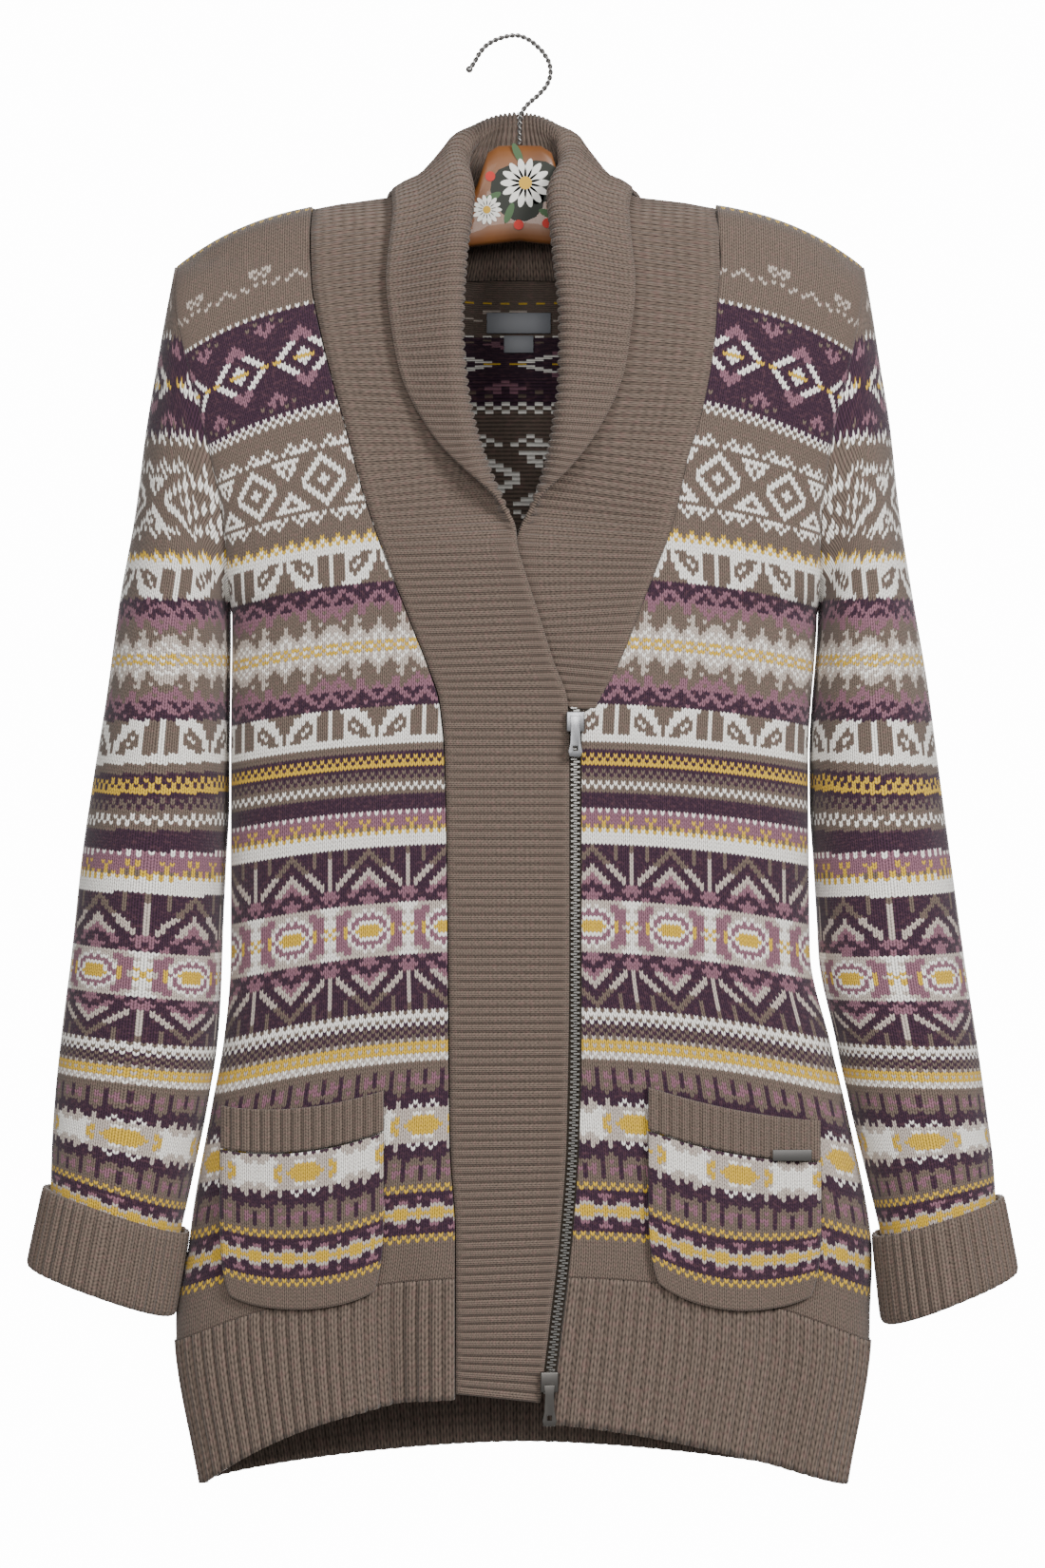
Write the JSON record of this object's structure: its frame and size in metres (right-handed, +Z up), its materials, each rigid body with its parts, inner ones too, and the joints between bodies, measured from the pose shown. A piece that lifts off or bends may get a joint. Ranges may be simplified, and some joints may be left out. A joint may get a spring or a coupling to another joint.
{
  "type": "knitted shawl-collar zip cardigan on a wooden clothes hanger",
  "caption": "Long banded-knit cardigan with a ribbed shawl collar, off-centre zip, patch pockets and turned-up cuffs, hung on a wooden hanger.",
  "frame": {"origin": "the rod's contact point under the crest of the hanger's hook", "axes": "+Z up, -Y towards the garment's front, +X to the viewer's right"},
  "size_m": [0.5914, 0.1215, 0.8706],
  "materials": {
    "banded_knit": "matt knit",
    "ribbed_knit": "matt ribbed knit",
    "zip_tape": "matt woven",
    "dark_metal": "satin",
    "bright_metal": "satin",
    "plate_metal": "dull",
    "label_satin": "satin",
    "painted_wood": "gloss varnish",
    "hook_wire": "polished"
  },
  "bodies": {
    "garment": {"back": "banded_knit", "collar_left": "ribbed_knit", "collar_right": "ribbed_knit", "cuff_left": "ribbed_knit", "cuff_right": "ribbed_knit", "front_left": "banded_knit", "front_right": "banded_knit", "hanger_board": "painted_wood", "hanger_hook": "hook_wire", "hem_back": "ribbed_knit", "hem_front_left": "ribbed_knit", "hem_front_right": "ribbed_knit", "neck_label": "label_satin", "pocket_left": "banded_knit", "pocket_plate": "plate_metal", "pocket_right": "banded_knit", "pocket_welt_left": "ribbed_knit", "pocket_welt_right": "ribbed_knit", "size_label": "label_satin", "sleeve_left": "banded_knit", "sleeve_right": "banded_knit", "zip_chain": "dark_metal", "zip_slider_bottom": "dark_metal", "zip_slider_top": "bright_metal", "zip_tape": "zip_tape"},
    "upper_pull": {"zip_pull_top": "bright_metal"},
    "lower_pull": {"zip_pull_bottom": "dark_metal"}
  },
  "joints": [
    {"name": "upper_pull_hinge", "type": "hinge", "parent": "garment", "child": "upper_pull", "pos_m": [0.0332, -0.06662, -0.4086], "axis": [-1, 0, 0], "range_deg": [0, 150]},
    {"name": "lower_pull_hinge", "type": "hinge", "parent": "garment", "child": "lower_pull", "pos_m": [0.01812, -0.05781, -0.8004], "axis": [-1, 0, 0], "range_deg": [0, 150]}
  ]
}
